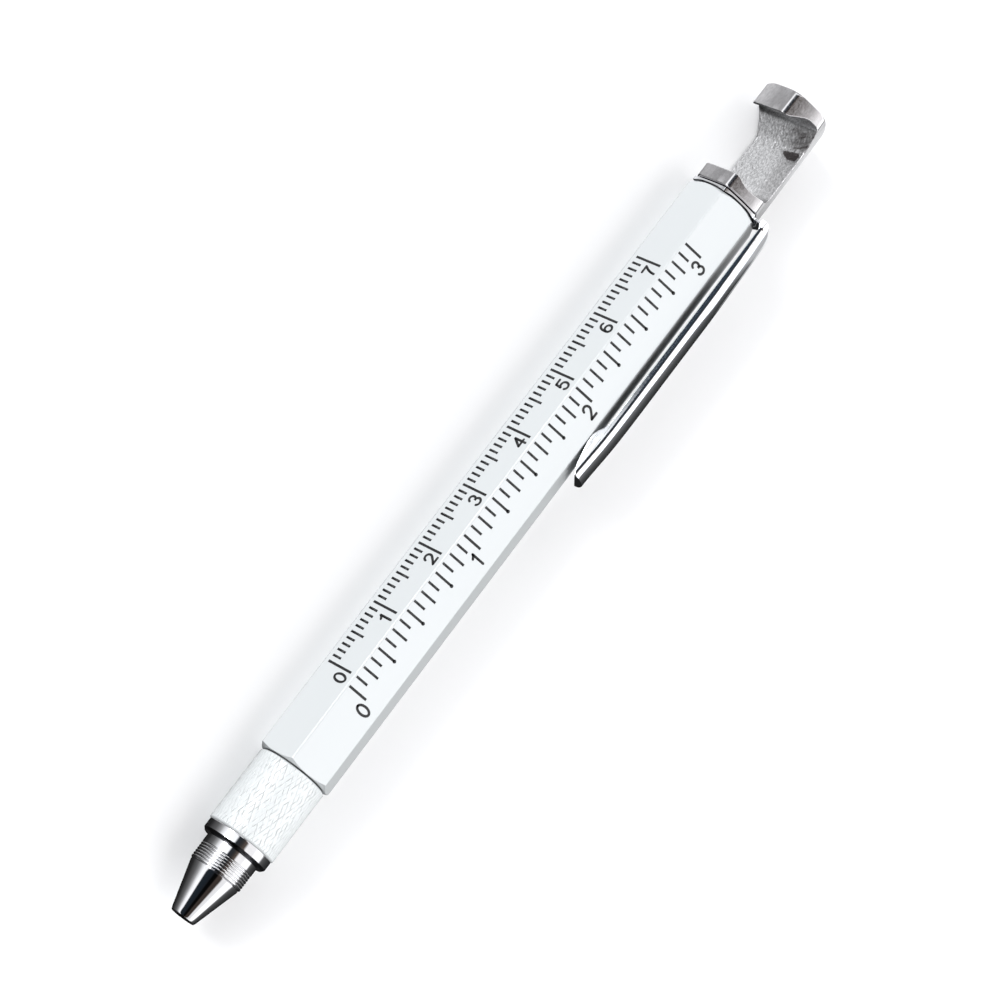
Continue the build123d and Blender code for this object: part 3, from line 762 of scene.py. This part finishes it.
def cast(p):
    """Shallow uneven relief, as on a casting that was left unpolished."""
    x, y, z = p[:, 0], p[:, 1], p[:, 2]
    rng = np.random.default_rng(7)
    out = np.zeros(len(p))
    for size, share in ((0.9, 0.45), (0.45, 0.33), (0.26, 0.22)):
        for _ in range(6):
            d = rng.normal(size=3)
            d /= np.linalg.norm(d)
            out += share / 6 * np.sin((x * d[0] + y * d[1] + z * d[2]) * 2 * math.pi / size + rng.uniform(0, 6.28)
                                      + 1.7 * np.sin((x * d[1] - y * d[2] + z * d[0]) * 2 * math.pi / (size * 2.3)))
    return out


def head_field(p):
    x = p[:, 0]
    r = np.hypot(p[:, 1], p[:, 2])
    f = HEAD(p[:, 1], p[:, 2])
    # The top facet falls off a little towards the rear on both of its pieces.
    f = f + 0.036 * np.interp(x, (49.9, 53.5, 62.0, 67.2), (-1.6, 2.0, -2.5, 2.7)) * np.clip((p[:, 2] / np.maximum(r, 1e-6) - 0.62) / 0.15, 0, 1)
    f = round_max(round_max(f, 49.925 - x, 0.20), x - 67.125, 0.12)
    f = round_max(f, (r - 5.10 + (x - 67.125) * 0.857) * 0.76, 0.08)
    f = round_max(f, (r - 5.40 - (x - 49.925) * 1.25) * 0.62, 0.06)
    wall = GAP(x, p @ N_CM)
    near = np.exp(-((wall / 0.25) ** 2))
    return round_max(f, -(wall + 0.028 * cast(p) * near), 0.13)


v, f, n = surface(head_field, (49.6, -5.9, -5.9), (67.4, 5.9, 5.9), 0.08)
ACROSS = np.array([0, C60, -S60])
# Painted shade and reflection of the hook's dark underside on the cast wall of the cut: a patch below the hook, a band
# at the hook's root, and darkening towards one side of the wall.
painted_hook_shade = np.clip(-outline_distance([(61.33, -1.01), (61.63, -3.61), (61.17, -4.12), (60.25, -3.84), (60.12, -2.61), (60.77, -1.28)],
                                  v[:, 0], v @ ACROSS) / 0.12 + 1.6 * cast(v * 2.2) + 0.35, 0, 1)
hook_root_shade = np.clip((v[:, 0] - 61.6) / 0.6, 0, 1) * np.clip((64.9 - v[:, 0]) / 0.4, 0, 1)
hook_root_shade *= np.clip((1.2 - v @ ACROSS) / 3.0, 0, 1) * np.clip(0.5 + 1.1 * cast(np.column_stack([(v[:, 0] + 0.33 * (v @ ACROSS)) * 1.5, (v @ ACROSS) * 0.30, (v @ N_CM) * 0.4])), 0, 1)
painted_hook_shade = np.clip(np.maximum(0.92 * painted_hook_shade, 0.75 * hook_root_shade) + 0.28 * np.clip((-1.0 - v @ ACROSS) / 1.6, 0, 1), 0, 1)
head = new_object("head_block", v, f, MAT["satin_nickel"], "head", "opener_head", normals=n,
                  attribute=("painted_hook_shade", painted_hook_shade))
head.data.materials.append(MAT["cast_nickel"])
# Painted shade across the head's top facet, stronger towards +Y and mottled.
tone = np.clip((v[:, 2] / np.maximum(np.hypot(v[:, 1], v[:, 2]), 1e-6) - 0.84) / 0.03, 0, 1)
tone *= np.where(v[:, 0] < 58, np.clip((v[:, 1] + 2.1) / 0.7, 0, 1), np.clip((v[:, 1] + 1.9) / 1.3, 0, 1))
tone *= np.clip(0.72 + 0.30 * cast(v * 0.55), 0, 1)
if len(head.data.vertices) == len(v):
    head.data.attributes.new("tone", "FLOAT", "POINT").data.foreach_set("value", tone.astype(np.float32))
mid = np.array([v[list(q)].mean(0) for q in f])
inside = GAP(mid[:, 0], mid @ N_CM)
normal = np.array([n[list(q)].mean(0) for q in f])
rough_face = (np.abs(inside) < 0.12) & (np.abs(normal @ ACROSS) < 0.8)
if len(head.data.polygons) == len(f):
    head.data.polygons.foreach_set("material_index", rough_face.astype(np.int32))

# Spigot with a cut thread
prof = [(49.98, 3.50), (49.93, 3.45), (49.925, 3.40), (49.90, 3.26)]
prof += [(x, 3.26) for x in np.linspace(49.6, 47.7, 6)]
prof += [(x, 3.5) for x in np.linspace(47.6, 38.35, 150)]
prof += [(38.2, 3.25), (38.0, 3.1), (38.0, 2.9), (48.30, 2.9), (48.36, 1.9), (49.98, 1.9)]


def thread(x, r, a):
    turn = (x / 0.6 - a / (2 * math.pi)) % 1
    cut = 0.24 * np.clip(1 - np.abs(turn - 0.5) / 0.36, 0, 1)
    fade = np.clip((47.6 - x) / 0.4, 0, 1) * np.clip((x - 38.2) / 0.4, 0, 1)
    return np.where((r == 3.5), 3.5 - cut * fade - 0.24 * (1 - fade), r)


v, f = lathe(prof, 192, thread)
weighted(new_object("head_spigot", v, f[:, ::-1], MAT["satin_nickel"], "head", sharp=35))

# ------------------------------------------------------------ return spring
turns, wire, coil = 6, 0.2, 1.78
t = np.linspace(0, 1, turns * 48 + 1)
lead = np.interp(t, [0, 0.09, 0.91, 1], [0, 0.03, 0.97, 1])
cx = -18.8 + 0.2 + lead * (9.4 - 0.4)
ca = t * turns * 2 * math.pi
centre = np.column_stack([cx, coil * np.cos(ca), coil * np.sin(ca)])
tangent = np.gradient(centre, axis=0)
tangent /= np.linalg.norm(tangent, axis=1, keepdims=True)
radial = np.column_stack([np.zeros_like(ca), np.cos(ca), np.sin(ca)])
third = np.cross(tangent, radial)
m = 12
v, f = [], []
for k in range(m):
    b = 2 * math.pi * k / m
    v.append(centre + wire * (math.cos(b) * radial + math.sin(b) * third))
v = np.stack(v, 1)
c = len(centre)
for i in range(c - 1):
    for k in range(m):
        f.append([i * m + k, i * m + (k + 1) % m, (i + 1) * m + (k + 1) % m, (i + 1) * m + k])
f.append([k for k in range(m)][::-1])
f.append([(c - 1) * m + k for k in range(m)])
spring = new_object("spring_wire", v.reshape(-1, 3), f, MAT["spring_steel"], "barrel", "return_spring", sharp=40)
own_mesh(spring)

# ------------------------------------------------------------------- stage
floor = bpy.data.meshes.new("floor")
floor.from_pydata([(-3, -3, -0.00002), (3, -3, -0.00002), (3, 3, -0.00002), (-3, 3, -0.00002)], [], [(0, 1, 2, 3)])
stage = bpy.data.objects.new("floor", floor)
bpy.context.scene.collection.objects.link(stage)
fm = Nodes("floor").set(Roughness=0.9)
fm.color(fm.mix(fm.ramp(fm.noise((1, 1, 1), 6.0, 2.0), 0.3, 0.7, 0, 1), (0.90, 0.905, 0.91), (0.92, 0.92, 0.92)))
floor.materials.append(fm.mat)
stage.visible_glossy = stage.visible_diffuse = False  # the floor shows and takes shadows, but the pen is lit and mirrored by the room


def light(name, place, aim, size, power, color=(1, 1, 1)):
    data = bpy.data.lights.new(name, "AREA")
    data.shape, data.size, data.size_y = "RECTANGLE", size[0], size[1]
    data.energy, data.color = power, color
    obj = bpy.data.objects.new(name, data)
    bpy.context.scene.collection.objects.link(obj)
    d = Vector(aim) - Vector(place)
    obj.location = place
    obj.rotation_mode = "QUATERNION"
    obj.rotation_quaternion = d.to_track_quat("-Z", "Y")
    obj.visible_glossy = name != "fill"  # the fill lights the paint and isn't mirrored


light("key", (0.02, 0.763, 0.477), (0, 0, 0), (0.50, 0.32), 4.6)
light("fill", (-0.15, -0.80, 0.20), (0, 0, 0), (0.50, 0.30), 2.7)

# The room: two soft boxes along the pen with a dark gap between them, and dusk below. Its brightness depends only on
# the direction: along is the share along the pen, turn the angle about the pen in degrees from up towards +Y.
world = bpy.data.worlds.new("studio")
bpy.context.scene.world = world
world.use_nodes = True
wt = world.node_tree


def calc(op, a, b=0.0):
    n = wt.nodes.new("ShaderNodeMath")
    n.operation = op
    for socket, q in zip(n.inputs, (a, b)):
        if isinstance(q, (int, float)):
            socket.default_value = q
        else:
            wt.links.new(q, socket)
    return n.outputs["Value"]


def rise(value, low, high):
    """0 below low, 1 above high and smooth between."""
    n = wt.nodes.new("ShaderNodeMapRange")
    n.interpolation_type = "SMOOTHSTEP"
    for name, q in (("Value", value), ("From Min", low), ("From Max", high)):
        if isinstance(q, (int, float)):
            n.inputs[name].default_value = q
        else:
            wt.links.new(q, n.inputs[name])
    return n.outputs["Result"]


def fall(value, low, high):
    return calc("SUBTRACT", 1.0, rise(value, low, high))


def table(value, lo, hi, points):
    """Looks value up in (value, result) pairs; a result is a number or a colour, up to 1."""
    n = wt.nodes.new("ShaderNodeMapRange")
    n.inputs["From Min"].default_value, n.inputs["From Max"].default_value = lo, hi
    wt.links.new(value, n.inputs["Value"])
    ramp = wt.nodes.new("ShaderNodeValToRGB")
    wt.links.new(n.outputs["Result"], ramp.inputs["Fac"])
    stops = ramp.color_ramp.elements
    stops.remove(stops[1])
    for k, (place, result) in enumerate(points):
        at = (place - lo) / (hi - lo)
        e = stops[0] if k == 0 else stops.new(at)
        e.position = at
        e.color = (*((result,) * 3 if isinstance(result, (int, float)) else result), 1)
    return ramp.outputs["Color"]


def product(*values):
    out = values[0]
    for q in values[1:]:
        out = calc("MULTIPLY", out, q)
    return out


def total(*values):
    out = values[0]
    for q in values[1:]:
        out = calc("ADD", out, q)
    return out


direction = wt.nodes.new("ShaderNodeSeparateXYZ")
wt.links.new(wt.nodes.new("ShaderNodeTexCoord").outputs["Generated"], direction.inputs["Vector"])
along = direction.outputs["X"]
turn = product(calc("ARCTAN2", direction.outputs["Y"], direction.outputs["Z"]), 180 / math.pi)

EDGE = [(-1, 60), (-0.47, 60), (-0.2, 41), (0.08, 27), (0.18, 29), (0.262, 38), (0.30, 48), (0.35, 58), (0.43, 58), (0.50, 28), (0.60, 12), (1, 12)]
edge = product(table(along, -1, 1, [(x, a / 100) for x, a in EDGE]), 100.0)
left = product(table(turn, 0, 180, [(0, 1), (72, 1), (81, 0.75), (90, 0.38), (99, 0.22), (110, 0.11), (120, 0.08), (130, 0.057),
                                    (140, 0.03), (150, 0.018), (180, 0.012)]),
               rise(turn, calc("SUBTRACT", edge, 2.0), calc("ADD", edge, 5.0)))
LIMIT = [(-1, 20), (-0.47, 22), (-0.2, 14), (0.1, 8), (0.18, 5), (0.22, 0), (0.26, -4), (0.352, -4), (0.362, 21), (0.43, 21), (0.54, 2), (1, 2)]
limit = product(calc("SUBTRACT", table(along, -1, 1, [(x, (a + 20) / 100) for x, a in LIMIT]), 0.20), -100.0)
LOWER = [(-1, 76), (0.12, 76), (0.2, 69), (0.27, 63), (0.292, 72), (0.31, 84), (1, 84)]
lower = product(table(along, -1, 1, [(x, a / 100) for x, a in LOWER]), -100.0)
right = product(table(turn, -180, 0, [(-70, 1.0), (-45, 1.0), (-38, 0.72), (0, 0.72)]),
                rise(turn, calc("SUBTRACT", lower, 6.0), calc("ADD", lower, 6.0)),
                fall(turn, calc("SUBTRACT", limit, 4.0), calc("ADD", limit, 5.0)),
                table(along, -1, 1, [(-0.5, 0.85), (-0.3, 1.0)]))
under = table(turn, -180, 0, [(-180, 0.016), (-141, 0.02), (-121, 0.05), (-111, 0.06), (-101, 0.085), (-91, 0.12), (-81, 0.17),
                              (-70, 0.20), (-60, 0)])
low = total(product(table(along, -1, 1, [(0.305, 0), (0.318, 0.5), (0.331, 0.55), (0.341, 1)]),
                    table(turn, -180, 180, [(-180, 0.80), (-150, 0.95), (-131, 0.95), (-125, 0), (95, 0), (101.5, 0.18), (104, 0.75),
                                            (109, 0.85), (150, 0.80), (180, 0.80)])),
            product(table(along, -1, 1, [(0.333, 0), (0.343, 0.50), (1, 0.50)]),
                    table(turn, -180, 180, [(-180, 0), (-131, 0), (-125, 0.95), (-90, 0.95), (-82, 0.90), (-76, 0), (180, 0)])))
front = product(0.35, rise(along, 0.56, 0.64), rise(turn, -75.0, -60.0), fall(turn, 60.0, 75.0))
tip = calc("SUBTRACT", 1.0, product(rise(calc("MULTIPLY", along, -1.0), 0.86, 0.93),
                                    calc("SUBTRACT", 0.98, product(0.5, rise(turn, -45.0, -35.0), fall(turn, -8.0, 2.0)))))
boxes = product(tip, total(product(left, 1.78), product(right, 2.10), under, low, front))
wt.nodes["Background"].inputs["Color"].default_value = (0.992, 1.0, 1.014, 1)
wt.links.new(boxes, wt.nodes["Background"].inputs["Strength"])

dusk = wt.nodes.new("ShaderNodeBackground")
wt.links.new(table(turn, -180, 180, [(-180, 0.0), (-95, 0.0), (-60, (0.05, 0.05, 0.05)), (-14, (0.13, 0.10, 0.085)),
                                     (0, (0.15, 0.115, 0.10)), (7, (0.075, 0.065, 0.06)), (13, (0.045, 0.045, 0.05)),
                                     (22, (0.04, 0.045, 0.055)), (36, (0.035, 0.05, 0.07)), (60, (0.045, 0.06, 0.08)),
                                     (90, 0.0), (180, 0.0)]), dusk.inputs["Color"])
wt.links.new(product(tip, table(along, -1, 1, [(-0.36, 0.55), (-0.24, 1.0)]),
                     calc("SUBTRACT", 1.0, product(0.85, fall(along, -0.36, -0.28), rise(turn, 2.0, 7.0), fall(turn, 20.0, 27.0)))),
             dusk.inputs["Strength"])
both = wt.nodes.new("ShaderNodeAddShader")
wt.links.new(wt.nodes["Background"].outputs[0], both.inputs[0])
wt.links.new(dusk.outputs[0], both.inputs[1])
wt.links.new(both.outputs[0], wt.nodes["World Output"].inputs["Surface"])

camera = bpy.data.cameras.new("camera")
camera.lens, camera.sensor_width, camera.clip_start, camera.clip_end = 130.10609, 36.0, 0.01, 20.0
eye = bpy.data.objects.new("camera", camera)
bpy.context.scene.collection.objects.link(eye)
eye.matrix_world = Matrix((
    (0.588538911, 0.775720864, -0.22776982, -0.113725335204),
    (-0.706716808, 0.630455349, 0.321056704, 0.15590672479),
    (0.392649085, -0.027985603, 0.919262477, 0.451970135512),
    (0, 0, 0, 1),
))
bpy.context.scene.camera = eye
bpy.context.scene.view_settings.view_transform = "Standard"
